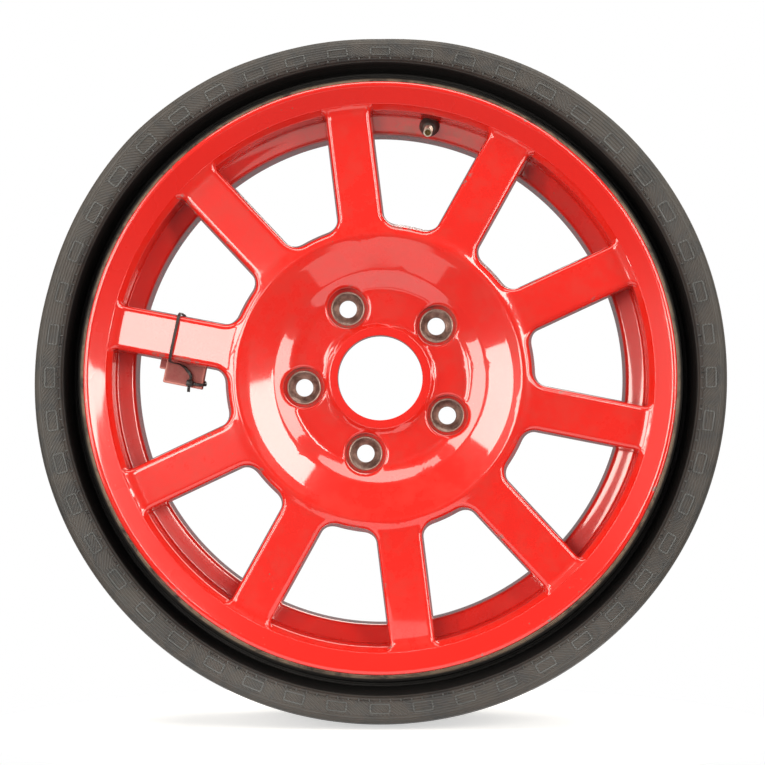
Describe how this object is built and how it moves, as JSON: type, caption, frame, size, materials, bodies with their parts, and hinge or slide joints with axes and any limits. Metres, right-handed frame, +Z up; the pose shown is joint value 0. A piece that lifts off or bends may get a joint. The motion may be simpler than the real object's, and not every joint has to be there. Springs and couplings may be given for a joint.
{
  "type": "collapsible spare wheel",
  "caption": "Collapsible space-saver spare wheel: red cast alloy wheel with straight spokes and a folded black tyre, valve, and a tag tied to a spoke.",
  "frame": {"origin": "centre of the hub mounting face, on the wheel's axis", "axes": "+Y along the wheel's axis, into the vehicle, with the outer face towards -Y; +Z up; +X right as seen from outside"},
  "size_m": [0.5899, 0.1914, 0.5898],
  "materials": {
    "red_alloy": "gloss",
    "seat_metal": "satin",
    "tyre_rubber": "matte",
    "cord_ply": "matte",
    "bead_wire": "satin",
    "valve_rubber": "matte",
    "nickel_brass": "satin",
    "spring_steel": "satin",
    "tie_nylon": "satin",
    "tag_plastic": "matte"
  },
  "bodies": {
    "wheel": {"rim_barrel": "red_alloy", "hub_pad": "red_alloy", "hub_bowl": "red_alloy", "spoke_01": "red_alloy", "spoke_02": "red_alloy", "spoke_03": "red_alloy", "spoke_04": "red_alloy", "spoke_05": "red_alloy", "spoke_06": "red_alloy", "spoke_07": "red_alloy", "spoke_08": "red_alloy", "spoke_09": "red_alloy", "spoke_10": "red_alloy", "bolt_seats": "seat_metal", "tread": "tyre_rubber", "breaker_ply": "cord_ply", "carcass_outer_ply": "cord_ply", "carcass_inner_ply": "cord_ply", "inner_liner": "tyre_rubber", "sidewall_front": "tyre_rubber", "sidewall_rear": "tyre_rubber", "chafer_front": "tyre_rubber", "chafer_rear": "tyre_rubber", "bead_core_front": "bead_wire", "bead_core_rear": "bead_wire", "bead_filler_front": "tyre_rubber", "bead_filler_rear": "tyre_rubber", "valve_body": "valve_rubber", "valve_stem": "nickel_brass", "core_plug": "nickel_brass", "core_gasket": "valve_rubber", "core_spring": "spring_steel", "tie_strap": "tie_nylon", "tie_head": "tie_nylon", "tag_block": "tag_plastic"},
    "pin": {"valve_pin": "nickel_brass"}
  },
  "joints": [
    {"name": "valve_pin_press", "type": "slide", "parent": "wheel", "child": "pin", "axis": [0.0738, 0.9222, 0.3796], "range_m": [0, 0.0012], "stiffness_N_per_m": 900, "springref_m": -0.001}
  ]
}
